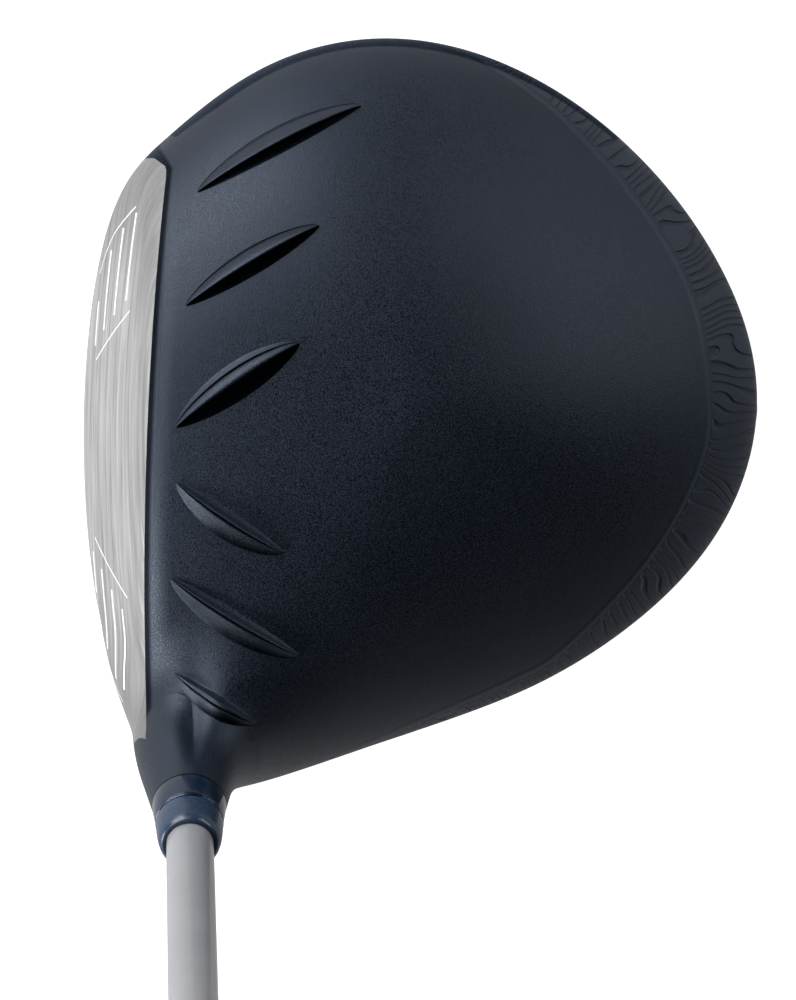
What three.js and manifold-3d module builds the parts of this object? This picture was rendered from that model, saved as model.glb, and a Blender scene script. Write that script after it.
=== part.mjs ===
// A golf driver at address: hollow head, adjustable shaft adapter, tapered shaft and grip.
// Millimetres, +Z up. Toe is -X, heel and shaft are +X, the target is -Y.
// The origin is on the flat of the sole, straight below the middle of the face.
import * as THREE from 'three';
import { mergeVertices } from 'three/addons/utils/BufferGeometryUtils.js';
import Module from 'manifold-3d';

const wasm = await Module();
wasm.setup();

const gap = 0.3;
const reach = 300;

// Head body: a rounded solid whose plan outline is a closed spline of radii about planCentre,
// listed anticlockwise from the heel, and whose sections get squarer towards the front.
const planCentre = { x: -10, y: 20 };
const planRadii = [60.2, 57.6, 58.4, 62.8, 64.8, 61, 59.6, 61.1, 63.7, 64.3, 61.3, 67, 72, 74, 74.8, 74];
const ringHeight = 29;
const crownRise = 32.5;
const soleDrop = 29.9;
const rimRounding = 2;
const upper = {
  plan: { heel: 2.2, back: 1.7, toe: 2.1, front: 2.8 },
  section: { heel: 1.35, back: 1.1, toe: 1.4, front: 2.3 },
};
const lower = {
  plan: { heel: 1.9, back: 1.5, toe: 1.8, front: 3 },
  section: { heel: 1.25, back: 1.02, toe: 1.25, front: 2.7 },
};
const headSegments = 52;
const headRings = 26;
const wall = 1.3;

// Face: part of a large ball, which gives the bulge and the roll.
const faceBallRadius = 305;
const faceBallCentre = new THREE.Vector3(0, 262.6, -41.8);
const faceLoft = THREE.MathUtils.degToRad(14);
const faceWall = 3.2;
const insertThickness = 3;
const insertOutline = [
  [-52.5, 27], [-50, 39.5], [-43, 47.5], [-30, 53.3], [0, 55.3], [15, 53.4], [25, 50.4], [35, 45.2],
  [46, 38], [51.5, 28], [45, 17.5], [30, 10], [0, 6.2], [-25, 6.5], [-42, 10.5], [-50, 18],
];
const insertMiddle = { x: -0.5, z: 30.75 };
const insertHalf = { x: 52, z: 24.55 };

// Crown panel: its seam runs round the widest line, behind the topline and clear of the neck.
const crownSeamHeight = 29.3;
const crownSeamY = -19;
const toplineTurn = THREE.MathUtils.degToRad(-2.2);
const neckClearance = 17;

// Ridges on the crown, each from its front end to its back end.
const ridgeEnds = [
  [-46, -13.5, -61, 11], [-25, -16, -39.5, 5], [-3.5, -16, -18.5, 1.5],
  [6.5, -16, 19, -1.5], [23.5, -16, 37.5, 1.5], [39.5, -15.5, 47.5, -6],
];
const ridgeHalfWidth = 1.8;
const ridgeHeight = 1.4;

// Shaft line: where it meets the ground, its lie, and how far it is turned back in plan.
// Sizes along it are measured from the ground.
const lineFoot = new THREE.Vector3(27.7, -19.9, 0);
const lieAngle = THREE.MathUtils.degToRad(59.5);
const lineTurn = THREE.MathUtils.degToRad(2.5);
const portMouth = 4;
const portRadius = 5.6;
const screwSeatBottom = 24.6;
const screwSeatTop = 26.2;
const hoselTop = 71.9;
const hoselRadius = 6.66;
const hoselBore = 5.3;
const flareStart = 48;
const neckTaper = 0.165;
const flareRadius = 2.2;
const screwClearance = 2.75;

// Screw through the sole into the adapter.
const screwHead = { bottom: 19, top: 23.5, radius: 3.9 };
const screwShank = { top: 43, radius: 2.4 };
const washer = { bottom: 23.65, top: 24.45, radius: 5 };
const retainer = { bottom: 34.4, top: 35.6, radius: 3.8 };
const socketDepth = 3;
const socketRadius = 2.1;
const socketLobe = 0.35;

// Adapter, trim ring and ferrule on the shaft.
const adapter = { bottom: 36, sleeve: 5.05, floor: 45, thread: 2.6, bore: 4.4 };
const collar = { bottom: 72.05, top: 77.4, topRadius: 6.07 };
const trimRing = { bottom: 77.5, top: 78.1, radius: 6.12 };
const ferrule = {
  bottom: 78.2, shoulder: 84.4, top: 85.1,
  baseRadius: 6.05, shoulderRadius: 5.4, lipRadius: 5,
};

// Shaft, grip tape, grip and cap.
const clubLength = 1155;
const shaftEnd = { tip: 45.3, taperStart: 85, butt: 1149.5 };
const shaftRadius = { tip: 4.25, butt: 7.62 };
const shaftWall = 1.1;
const tipPlug = { bottom: 46, top: 54, radius: 3 };
const tape = { bottom: 890, top: 1149, inner: 0.1, outer: 0.25 };
const grip = { mouth: 885, shoulder: 1140, top: 1150.2, mouthRadius: 8.7, topRadius: 13.1 };
const gripInner = 0.4;
const cap = { bottom: 1150.5, rim: 1153.2, radius: 13.1, faceRadius: 11.6, vent: 1.4 };

// Rear weight: the middle of its pocket mouth, and how far its axis leans back from straight down.
const podMouth = new THREE.Vector3(-7, 76.5, 20.5);
const podLean = THREE.MathUtils.degToRad(40);
const pod = { radius: 9.7, pocket: 8.3, depth: 5, floor: 6.6, nub: 4.4, end: 10.5 };
const gasket = { bottom: 4.1, top: 4.7, radius: 7.8, hole: 3.2 };
const weight = { radius: 8, chamfer: 0.6, inner: 3.8, proud: 0.9, recess: 2.1, headHole: 4, hole: 2.8 };
const weightScrew = { head: 3.6, under: 1.8, top: 0.9, shank: 2.4, end: 9.5 };

// Sole badge and the pad of rattle glue inside the sole.
const badge = { x: -9, y: 40, halfX: 17, halfY: 9, thickness: 0.4 };
const gluePad = { x: -18, y: 8, radius: 10, height: 3 };
const ribs = { x: [-34, 16], width: 1.4, front: -24, back: 36, top: 7 };

const paint = {
  navy: { color: 0x10161f, roughness: 0.5, metalness: 0.3 },
  silver: { color: 0xb4b8bc, roughness: 0.35, metalness: 0.9 },
  steel: { color: 0x8f949a, roughness: 0.3, metalness: 1 },
  tungsten: { color: 0x6f7276, roughness: 0.4, metalness: 0.9 },
  ferruleBlue: { color: 0x2d3c5a, roughness: 0.35, metalness: 0.1 },
  shaftWhite: { color: 0xd5d8da, roughness: 0.3, metalness: 0.2 },
  rubber: { color: 0x1b1c1e, roughness: 0.8, metalness: 0 },
  tapeWhite: { color: 0xe4e2da, roughness: 0.9, metalness: 0 },
  glue: { color: 0xd8cfae, roughness: 0.5, metalness: 0 },
  badgeGrey: { color: 0x4a5058, roughness: 0.4, metalness: 0.6 },
};

const club = new THREE.Group();

// ---- solids and meshes ----

function toSolid(geometry) {
  const plain = geometry.clone();
  plain.deleteAttribute('normal');
  plain.deleteAttribute('uv');
  const merged = mergeVertices(plain, 1e-5);
  const vertProperties = new Float32Array(merged.attributes.position.array);
  const triVerts = new Uint32Array(merged.index.array);
  return new wasm.Manifold(new wasm.Mesh({ numProp: 3, vertProperties, triVerts }));
}

function toGeometry(solid) {
  const mesh = solid.getMesh();
  const geometry = new THREE.BufferGeometry();
  geometry.setAttribute('position', new THREE.BufferAttribute(mesh.vertProperties, 3));
  geometry.setIndex(new THREE.BufferAttribute(mesh.triVerts, 1));
  return geometry;
}

function addMesh(name, geometry, finish, parent = club) {
  const mesh = new THREE.Mesh(geometry, new THREE.MeshStandardMaterial(finish));
  mesh.name = name;
  parent.add(mesh);
}

// A turned solid about the Y axis from a profile of [radius, height] pairs, bottom to top.
function turned(profile, segments = 32) {
  const points = profile.map(([radius, height]) => new THREE.Vector2(radius, height));
  return new THREE.LatheGeometry(points, segments);
}

// A turned ring: the profile goes up the outside, down the inside and closes on itself.
function turnedRing(outside, inside, segments = 32) {
  return turned([inside[0], ...outside, ...inside.slice().reverse()], segments);
}

function box(low, high) {
  const geometry = new THREE.BoxGeometry(high[0] - low[0], high[1] - low[1], high[2] - low[2]);
  return geometry.translate((low[0] + high[0]) / 2, (low[1] + high[1]) / 2, (low[2] + high[2]) / 2);
}

// ---- frames for the shaft line and the rear weight ----

const shaftLine = new THREE.Group();
shaftLine.position.copy(lineFoot);
const lineDirection = new THREE.Vector3(Math.cos(lieAngle), 0, Math.sin(lieAngle));
lineDirection.applyAxisAngle(new THREE.Vector3(0, 0, 1), lineTurn);
shaftLine.quaternion.setFromUnitVectors(new THREE.Vector3(0, 1, 0), lineDirection);
shaftLine.updateMatrix();
club.add(shaftLine);

const weightLine = new THREE.Group();
weightLine.position.copy(podMouth);
const weightDirection = new THREE.Vector3(0, Math.sin(podLean), -Math.cos(podLean));
weightLine.quaternion.setFromUnitVectors(new THREE.Vector3(0, 1, 0), weightDirection);
weightLine.updateMatrix();
club.add(weightLine);

function onShaftLine(geometry) {
  return toSolid(geometry.applyMatrix4(shaftLine.matrix));
}

function onWeightLine(geometry) {
  return toSolid(geometry.applyMatrix4(weightLine.matrix));
}

// ---- head shape ----

// The plan radius is a uniform cubic B-spline through the control radii.
function planRadius(angle) {
  const count = planRadii.length;
  const turn = THREE.MathUtils.euclideanModulo(angle / (2 * Math.PI), 1) * count;
  const start = Math.floor(turn);
  const t = turn - start;
  const weights = [
    (1 - t) ** 3 / 6,
    (3 * t ** 3 - 6 * t ** 2 + 4) / 6,
    (-3 * t ** 3 + 3 * t ** 2 + 3 * t + 1) / 6,
    t ** 3 / 6,
  ];
  return weights.reduce((sum, value, i) => sum + value * planRadii[(start + i - 1 + count) % count], 0);
}

// A value that turns smoothly from heel to back to toe to front.
function around(angle, { heel, back, toe, front }) {
  const across = (heel + toe) / 2;
  const along = (back + front) / 2;
  const first = (heel - toe) / 2 * Math.cos(angle) + (back - front) / 2 * Math.sin(angle);
  return (across + along) / 2 + first + (across - along) / 2 * Math.cos(2 * angle);
}

// Roughly the distance outside the head body, negative inside it.
function bodyField(x, y, z) {
  const dx = x - planCentre.x;
  const dy = y - planCentre.y;
  const dz = z - ringHeight;
  const angle = Math.atan2(dy, dx);
  const half = dz > 0 ? upper : lower;
  const p = around(angle, half.plan);
  const q = around(angle, half.section);
  const rho = Math.hypot(dx, dy) / planRadius(angle);
  const rise = dz > 0 ? crownRise : soleDrop;
  const zeta = (Math.hypot(dz, rimRounding) - rimRounding) / (Math.hypot(rise, rimRounding) - rimRounding);
  const level = (rho ** p + zeta ** q) ** (2 / (p + q));
  return Math.hypot(dx, dy, dz) * (1 - 1 / Math.max(level, 1e-6));
}

// The distance along a direction at which a rising function reaches zero.
function rootAlong(rising, low, high) {
  let [near, far] = [low, high];
  for (let step = 0; step < 40; step += 1) {
    const middle = (near + far) / 2;
    if (rising(middle) < 0) near = middle;
    else far = middle;
  }
  return (near + far) / 2;
}

// The head body shrunk by inset, as a sphere whose vertices are pushed out to its surface.
function headBody(inset) {
  const geometry = new THREE.SphereGeometry(1, headSegments, headRings).rotateX(Math.PI / 2);
  const position = geometry.attributes.position;
  for (let i = 0; i < position.count; i += 1) {
    const ray = new THREE.Vector3().fromBufferAttribute(position, i);
    const outside = (t) => {
      return bodyField(planCentre.x + ray.x * t, planCentre.y + ray.y * t, ringHeight + ray.z * t) + inset;
    };
    ray.multiplyScalar(rootAlong(outside, 1, 120));
    position.setXYZ(i, planCentre.x + ray.x, planCentre.y + ray.y, ringHeight + ray.z);
  }
  return toSolid(geometry);
}

// Everything behind the face ball's surface, set back by inset.
function behindFace(inset) {
  const radius = faceBallRadius - inset;
  const rim = Math.asin(95 / radius);
  const profile = [[0, 60], [radius * Math.sin(rim), 60]];
  for (let step = 8; step >= 0; step -= 1) {
    const angle = rim * step / 8;
    profile.push([step ? radius * Math.sin(angle) : 0, radius * Math.cos(angle)]);
  }
  const geometry = turned(profile, 40);
  const outward = new THREE.Vector3(0, -Math.cos(faceLoft), Math.sin(faceLoft));
  geometry.applyQuaternion(new THREE.Quaternion().setFromUnitVectors(new THREE.Vector3(0, 1, 0), outward));
  geometry.translate(faceBallCentre.x, faceBallCentre.y, faceBallCentre.z);
  return toSolid(geometry);
}

function crownHeightAt(x, y) {
  return rootAlong((z) => bodyField(x, y, z), ringHeight, ringHeight + crownRise + 5);
}

function ridge([x0, y0, x1, y1]) {
  const front = new THREE.Vector3(x0, y0, crownHeightAt(x0, y0));
  const back = new THREE.Vector3(x1, y1, crownHeightAt(x1, y1));
  const middle = new THREE.Vector3((x0 + x1) / 2, (y0 + y1) / 2, 0);
  middle.z = crownHeightAt(middle.x, middle.y);
  const length = front.distanceTo(back);
  const geometry = new THREE.SphereGeometry(1, 12, 8).scale(length / 2, ridgeHalfWidth, ridgeHeight);
  const slope = new THREE.Vector3().subVectors(back, front).normalize();
  geometry.applyQuaternion(new THREE.Quaternion().setFromUnitVectors(new THREE.Vector3(1, 0, 0), slope));
  return toSolid(geometry.translate(middle.x, middle.y, middle.z));
}

// The opening for the face insert, or with grow 0 the insert's own outline, as a long block.
function insertBlock(grow) {
  const points = insertOutline.map(([x, z]) => new THREE.Vector3(
    insertMiddle.x + (x - insertMiddle.x) * (1 + grow / insertHalf.x),
    insertMiddle.z + (z - insertMiddle.z) * (1 + grow / insertHalf.z),
    0,
  ));
  const curve = new THREE.CatmullRomCurve3(points, true, 'catmullrom', 0.5);
  const corners = curve.getSpacedPoints(48).slice(0, -1).map((p) => new THREE.Vector2(p.x, p.y));
  const outline = new THREE.Shape(corners);
  const geometry = new THREE.ExtrudeGeometry(outline, { depth: 60, bevelEnabled: false });
  return toSolid(geometry.rotateX(Math.PI / 2).translate(0, 10, 0));
}

// The space taken by the crown panel: above the seam, behind the topline, clear of the neck.
function crownSpace(shrink) {
  const block = box([-reach, crownSeamY + shrink, crownSeamHeight + shrink], [reach, reach, reach]);
  const neckRoom = turned([[0, 0], [neckClearance + shrink, 0], [neckClearance + shrink, 150], [0, 150]]);
  return toSolid(block.rotateZ(toplineTurn)).subtract(onShaftLine(neckRoom));
}

function badgeBlock(grow) {
  const outline = new THREE.Shape();
  outline.absellipse(badge.x, badge.y, badge.halfX + grow, badge.halfY + grow, 0, 2 * Math.PI);
  return toSolid(new THREE.ExtrudeGeometry(outline, { depth: 22, bevelEnabled: false, curveSegments: 12 }));
}

// ---- head ----

const aboveSole = (height) => toSolid(box([-reach, -reach, height], [reach, reach, reach]));
const outerHead = headBody(0).intersect(behindFace(0)).intersect(aboveSole(0));
const innerHead = headBody(wall).intersect(behindFace(faceWall)).intersect(aboveSole(wall));

const flareProfile = [[0, flareStart]];
for (let step = 0; step <= 6; step += 1) {
  const t = step / 6;
  const height = flareStart + (hoselTop - flareStart) * t;
  flareProfile.push([hoselRadius + neckTaper * (hoselTop - height) + flareRadius * (1 - t) ** 3, height]);
}
flareProfile.push([0, hoselTop]);
const neckFlare = onShaftLine(turned(flareProfile));
const ridges = ridgeEnds.map(ridge);
const headOutside = ridges.reduce((solid, next) => solid.add(next), outerHead.add(neckFlare));
const headShell = headOutside.subtract(innerHead);

const hoselTube = onShaftLine(turned([[0, portMouth], [hoselRadius + 0.9, portMouth], [hoselRadius + 0.9, 30],
  [hoselRadius, 32], [hoselRadius, hoselTop], [0, hoselTop]]));
// A plain round rod between two heights.
function rod(radius, bottom, top, segments = 32) {
  return turned([[0, bottom], [radius, bottom], [radius, top], [0, top]], segments);
}

const hoselHole = onShaftLine(rod(hoselBore, screwSeatTop, 90));
const portHole = onShaftLine(rod(portRadius, -20, screwSeatBottom));
const shankHole = onShaftLine(rod(screwClearance, 0, 40));

const podShape = onWeightLine(turned([[0, -pod.end], [pod.nub, -pod.end], [pod.nub, -pod.floor],
  [pod.radius, -pod.floor], [pod.radius, 0], [0, 0]], 40));
const podPocket = onWeightLine(rod(pod.pocket, -pod.depth, 20, 40));
const podThread = onWeightLine(rod(screwClearance, -20, 0));
const podRoom = headBody(wall + 0.5);

const ribBoxes = ribs.x.map((x) => box([x, ribs.front, 0.5], [x + ribs.width, ribs.back, ribs.top]));

let bodyShell = headShell.subtract(crownSpace(0));
bodyShell = bodyShell.subtract(insertBlock(gap));
const insertRoom = insertBlock(gap).subtract(behindFace(insertThickness + gap));
bodyShell = bodyShell.add(hoselTube.intersect(headOutside).subtract(insertRoom));
bodyShell = bodyShell.add(podShape.subtract(aboveSole(ringHeight)).add(podShape.intersect(podRoom)));
for (const rib of ribBoxes) bodyShell = bodyShell.add(toSolid(rib).intersect(outerHead));
for (const hole of [hoselHole, portHole, shankHole, podPocket, podThread]) {
  bodyShell = bodyShell.subtract(hole);
}
bodyShell = bodyShell.subtract(badgeBlock(gap).subtract(headBody(badge.thickness + gap)));
addMesh('body_shell', toGeometry(bodyShell), paint.silver);

const crownShell = headShell.intersect(crownSpace(gap)).subtract(podPocket);
addMesh('crown_shell', toGeometry(crownShell), paint.navy);

const faceInsert = outerHead.intersect(insertBlock(0)).subtract(behindFace(insertThickness));
addMesh('face_insert', toGeometry(faceInsert), paint.silver);

const soleBadge = outerHead.intersect(badgeBlock(0)).subtract(headBody(badge.thickness));
addMesh('sole_badge', toGeometry(soleBadge), paint.badgeGrey);

const gluePadGeometry = turned([[0, 0], [gluePad.radius, 0], [gluePad.radius * 0.85, gluePad.height * 0.6],
  [0, gluePad.height]]).rotateX(Math.PI / 2).translate(gluePad.x, gluePad.y, wall + gap);
const gluePadSolid = toSolid(gluePadGeometry).intersect(headBody(wall + gap));
addMesh('hot_melt_pad', toGeometry(gluePadSolid), paint.glue);

// ---- adapter screw, washer and retainer ----

const screwProfile = [[0, screwHead.bottom], [screwHead.radius, screwHead.bottom],
  [screwHead.radius, screwHead.top], [screwShank.radius, screwHead.top], [screwShank.radius, screwShank.top - 1],
  [screwShank.radius - 0.7, screwShank.top], [0, screwShank.top]];

// A six-lobed drive socket, as a block whose open end is at height 0.
function driveSocket(depth) {
  const outline = new THREE.Shape();
  for (let step = 0; step < 36; step += 1) {
    const angle = 2 * Math.PI * step / 36;
    const radius = socketRadius + socketLobe * Math.cos(6 * angle);
    const point = [radius * Math.cos(angle), radius * Math.sin(angle)];
    if (step) outline.lineTo(...point);
    else outline.moveTo(...point);
  }
  const geometry = new THREE.ExtrudeGeometry(outline, { depth: depth + 1, bevelEnabled: false });
  return geometry.rotateX(Math.PI / 2).translate(0, 1, 0);
}

const screwSocket = toSolid(driveSocket(socketDepth).rotateX(Math.PI).translate(0, screwHead.bottom, 0));
const adapterScrew = toSolid(turned(screwProfile)).subtract(screwSocket);
addMesh('adapter_screw', toGeometry(adapterScrew), paint.steel, shaftLine);
addMesh('screw_washer', turnedRing([[washer.radius, washer.bottom], [washer.radius, washer.top]],
  [[screwClearance, washer.bottom], [screwClearance, washer.top]]), paint.steel, shaftLine);
const retainerHole = screwShank.radius + 0.1;
addMesh('screw_retainer', turnedRing([[retainer.radius, retainer.bottom], [retainer.radius, retainer.top]],
  [[retainerHole, retainer.bottom], [retainerHole, retainer.top]]), paint.rubber, shaftLine);

// ---- adapter, ring, ferrule, shaft and grip ----

const adapterOutside = [[adapter.sleeve, adapter.bottom], [adapter.sleeve, collar.bottom],
  [hoselRadius, collar.bottom], [collar.topRadius, collar.top]];
const adapterInside = [[adapter.thread, adapter.bottom], [adapter.thread, adapter.floor],
  [adapter.bore, adapter.floor], [adapter.bore, collar.top]];
addMesh('hosel_adapter', turnedRing(adapterOutside, adapterInside), paint.navy, shaftLine);
addMesh('ferrule_ring', turnedRing([[trimRing.radius, trimRing.bottom], [trimRing.radius, trimRing.top]],
  [[adapter.bore, trimRing.bottom], [adapter.bore, trimRing.top]]), paint.steel, shaftLine);
const ferruleOutside = [[ferrule.baseRadius, ferrule.bottom], [ferrule.shoulderRadius, ferrule.shoulder],
  [ferrule.lipRadius, ferrule.top]];
const ferruleInside = [[adapter.bore, ferrule.bottom], [adapter.bore, ferrule.top]];
addMesh('ferrule', turnedRing(ferruleOutside, ferruleInside), paint.ferruleBlue, shaftLine);

function shaftRadiusAt(height) {
  const t = (height - shaftEnd.taperStart) / (shaftEnd.butt - shaftEnd.taperStart);
  return shaftRadius.tip + (shaftRadius.butt - shaftRadius.tip) * Math.max(t, 0);
}

function shaftProfile(heights, offset) {
  return heights.map((height) => [shaftRadiusAt(height) + offset, height]);
}

const shaftHeights = [shaftEnd.tip, shaftEnd.taperStart, shaftEnd.butt];
addMesh('shaft', turnedRing(shaftProfile(shaftHeights, 0), shaftProfile(shaftHeights, -shaftWall)),
  paint.shaftWhite, shaftLine);
addMesh('tip_plug', rod(tipPlug.radius, tipPlug.bottom, tipPlug.top), paint.rubber, shaftLine);

const tapeHeights = [tape.bottom, tape.top];
addMesh('grip_tape', turnedRing(shaftProfile(tapeHeights, tape.outer), shaftProfile(tapeHeights, tape.inner)),
  paint.tapeWhite, shaftLine);

const gripOutside = [[grip.mouthRadius - 0.5, grip.mouth], [grip.mouthRadius, grip.mouth + 2]];
for (let step = 1; step <= 6; step += 1) {
  const t = step / 6;
  const radius = grip.mouthRadius + (grip.topRadius - grip.mouthRadius) * t ** 1.5;
  gripOutside.push([radius, grip.mouth + 2 + (grip.shoulder - grip.mouth - 2) * t]);
}
gripOutside.push([grip.topRadius, grip.top]);
addMesh('grip', turnedRing(gripOutside, shaftProfile([grip.mouth, grip.top], gripInner)), paint.rubber, shaftLine);
addMesh('grip_cap', turnedRing([[cap.radius, cap.bottom], [cap.radius, cap.rim], [cap.faceRadius, clubLength]],
  [[cap.vent, cap.bottom], [cap.vent, clubLength]]), paint.rubber, shaftLine);

// ---- rear weight, its gasket and its screw, heights measured outwards from the pocket mouth ----

addMesh('weight_gasket', turnedRing([[gasket.radius, -gasket.top], [gasket.radius, -gasket.bottom]],
  [[gasket.hole, -gasket.top], [gasket.hole, -gasket.bottom]], 40), paint.rubber, weightLine);
const weightOutside = [[weight.radius, -weight.inner], [weight.radius, weight.proud - weight.chamfer],
  [weight.radius - weight.chamfer, weight.proud]];
const weightInside = [[weight.hole, -weight.inner], [weight.hole, -weight.recess],
  [weight.headHole, -weight.recess], [weight.headHole, weight.proud]];
addMesh('rear_weight', turnedRing(weightOutside, weightInside, 40), paint.tungsten, weightLine);
const weightScrewProfile = [[0, -weightScrew.end], [weightScrew.shank, -weightScrew.end],
  [weightScrew.shank, -weightScrew.under], [weightScrew.head, -weightScrew.under],
  [weightScrew.head, weightScrew.top - 0.4], [weightScrew.head - 0.4, weightScrew.top], [0, weightScrew.top]];
const weightSocket = toSolid(driveSocket(2).translate(0, weightScrew.top, 0));
addMesh('weight_screw', toGeometry(toSolid(turned(weightScrewProfile)).subtract(weightSocket)),
  paint.steel, weightLine);

export default club;
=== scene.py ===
import math

import bmesh
import bpy
import numpy as np
from mathutils import Matrix, Vector


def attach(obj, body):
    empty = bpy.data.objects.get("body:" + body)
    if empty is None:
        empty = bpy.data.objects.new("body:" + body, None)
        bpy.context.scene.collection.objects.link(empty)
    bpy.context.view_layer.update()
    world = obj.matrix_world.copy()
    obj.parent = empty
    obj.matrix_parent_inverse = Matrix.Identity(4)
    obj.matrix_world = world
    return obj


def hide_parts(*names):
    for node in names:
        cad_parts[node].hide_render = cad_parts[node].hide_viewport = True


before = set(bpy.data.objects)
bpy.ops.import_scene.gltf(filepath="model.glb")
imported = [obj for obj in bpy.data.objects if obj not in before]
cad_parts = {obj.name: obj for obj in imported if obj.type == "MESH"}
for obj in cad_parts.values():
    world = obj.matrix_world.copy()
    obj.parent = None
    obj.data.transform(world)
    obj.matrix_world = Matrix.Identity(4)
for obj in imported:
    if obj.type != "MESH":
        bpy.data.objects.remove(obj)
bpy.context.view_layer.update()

# Golf driver at address. Script lengths are in millimetres, and mm turns them into metres.
# Toe is -X, heel and shaft are +X, the target is -Y, up is +Z.
mm = 0.001


def say(stage):
    print("driver:", stage)


def looseObject(mesh, name="helper"):
    loose = bpy.data.objects.new(name, mesh)
    bpy.context.scene.collection.objects.link(loose)
    return loose


def placePiece(mesh, name, body, finish, nodes=(), smooth=True):
    # a finished mesh becomes a piece that rides on a body and stands for the frame's nodes
    piece = looseObject(mesh, name)
    mesh.materials.clear()
    mesh.materials.append(materials[finish])
    if smooth:
        mesh.shade_smooth()
    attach(piece, body)
    if nodes:
        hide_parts(*nodes)


def bakedMesh(helper, name):
    # the helper with its modifiers applied, as a new mesh; the helper itself goes
    depsgraph = bpy.context.evaluated_depsgraph_get()
    mesh = bpy.data.meshes.new_from_object(helper.evaluated_get(depsgraph))
    mesh.name = name
    bpy.data.objects.remove(helper)
    return mesh


def combined(mesh, cutterMesh, operation, name):
    # join or cut of two closed meshes
    helper = looseObject(mesh)
    cutter = looseObject(cutterMesh)
    step = helper.modifiers.new("cut", "BOOLEAN")
    step.operation = operation
    step.solver = "MANIFOLD"
    step.object = cutter
    result = bakedMesh(helper, name)
    bpy.data.objects.remove(cutter)
    return result


def meshFrom(bm, name="work"):
    mesh = bpy.data.meshes.new(name)
    bm.to_mesh(mesh)
    bm.free()
    return mesh


def extrudeFaces(bm, faces, move):
    # thickens faces by a move in millimetres
    made = bmesh.ops.extrude_face_region(bm, geom=faces)
    moved = [part for part in made["geom"] if isinstance(part, bmesh.types.BMVert)]
    bmesh.ops.translate(bm, vec=Vector(move) * mm, verts=moved)


def uprightTo(direction):
    # turns the upright axis to a direction
    return Vector((0, 0, 1)).rotation_difference(Vector(direction)).to_matrix().to_4x4()


def surfaceBetween(inside, outside, steps, isBeyond):
    # halves the gap between values inside a shape and values outside it
    for _ in range(steps):
        middle = (inside + outside) / 2
        beyond = isBeyond(middle)
        outside = np.where(beyond, middle, outside)
        inside = np.where(beyond, inside, middle)
    return inside


def pointsOf(mesh):
    points = np.empty(len(mesh.vertices) * 3)
    mesh.vertices.foreach_get("co", points)
    return points.reshape(-1, 3) / mm


def setPoints(mesh, points):
    mesh.vertices.foreach_set("co", (points * mm).ravel())
    mesh.update()


def addAttribute(mesh, name, values):
    layer = mesh.attributes.new(name, "FLOAT", "POINT")
    layer.data.foreach_set("value", values.astype(np.float32))


head = {
    "planCentre": (-10, 20),
    "planRadii": (60.2, 57.6, 58.4, 62.8, 64.8, 61, 59.6, 61.1, 64.2, 64.3, 61.3, 67, 72, 74, 74.8, 74),
    "ringHeight": 29,
    "crownRise": 32.5,
    "soleDrop": 29.9,
    "upperPlan": (2.2, 1.7, 2.1, 2.8),  # heel, back, toe, front
    "upperSection": (1.35, 1.1, 1.4, 2.3),
    "lowerPlan": (1.9, 1.5, 1.8, 3),
    "lowerSection": (1.25, 1.02, 1.25, 2.7),
    "rimRounding": 2,
    "faceBall": 305,
    "faceCentre": (0, 262.6, -41.8),
    "edgeRounding": 4,
    "neckBlend": 17,  # at the sides; more behind the neck and less in front
    "neckBlendChange": 10,
    "neckBlendMiddle": 1.5,  # behind the shaft's line
    "neckBlendReach": 9,
    "soleRounding": 1.0,
    "wall": 1.3,
    "voxel": 0.6,
}
line = {
    "foot": (27.7, -19.9, 0),
    "lie": math.radians(59.5),
    "turn": math.radians(2.5),
    "hoselTop": 71.9,
    "hoselRadius": 6.66,
    "neckTaper": 0.165,
    "taperLength": 20,
    "taperRounding": 8,
    "neckBottom": 24,
    "valleyTurn": 0.25,  # from the top of the neck towards the back
    "valleyWidth": 0.36,
    "valleyDepth": 1.5,
    "valleyStart": 2.7,  # below the neck's top
    "valleyRamp": 9,
}
lineDirection = np.array((math.cos(line["lie"]) * math.cos(line["turn"]),
                          math.cos(line["lie"]) * math.sin(line["turn"]), math.sin(line["lie"])))


def lineFrame(height=0.0):
    # from upright at the origin to the shaft's line, at a height along it
    place = (np.array(line["foot"]) + lineDirection * height) * mm
    return Matrix.Translation(place) @ uprightTo(lineDirection)


def planRadius(angle):
    # uniform cubic B-spline that the control radii pull on
    radii = np.array(head["planRadii"])
    count = len(radii)
    turn = (angle / (2 * np.pi) * count) % count
    start = np.floor(turn).astype(int)
    t = turn - start
    weights = ((1 - t) ** 3, 3 * t ** 3 - 6 * t ** 2 + 4, -3 * t ** 3 + 3 * t ** 2 + 3 * t + 1, t ** 3)
    return sum(radii[(start + i - 1) % count] * w / 6 for i, w in enumerate(weights))


def around(angle, values):
    # blends the values for heel, back, toe and front round the head
    heel, back, toe, front = values
    across = (heel + toe) / 2
    along = (back + front) / 2
    first = (heel - toe) / 2 * np.cos(angle) + (back - front) / 2 * np.sin(angle)
    return (across + along) / 2 + first + (across - along) / 2 * np.cos(2 * angle)


def smoothMax(a, b, size):
    overlap = np.maximum(size - np.abs(a - b), 0) / size
    return np.maximum(a, b) + overlap ** 2 * size / 4


def smoothMin(a, b, size):
    return -smoothMax(-a, -b, size)


def neckBlend(p):
    back = (p[:, 1] - line["foot"][1] - head["neckBlendMiddle"]) / head["neckBlendReach"]
    return head["neckBlend"] + head["neckBlendChange"] * np.tanh(back)


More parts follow.
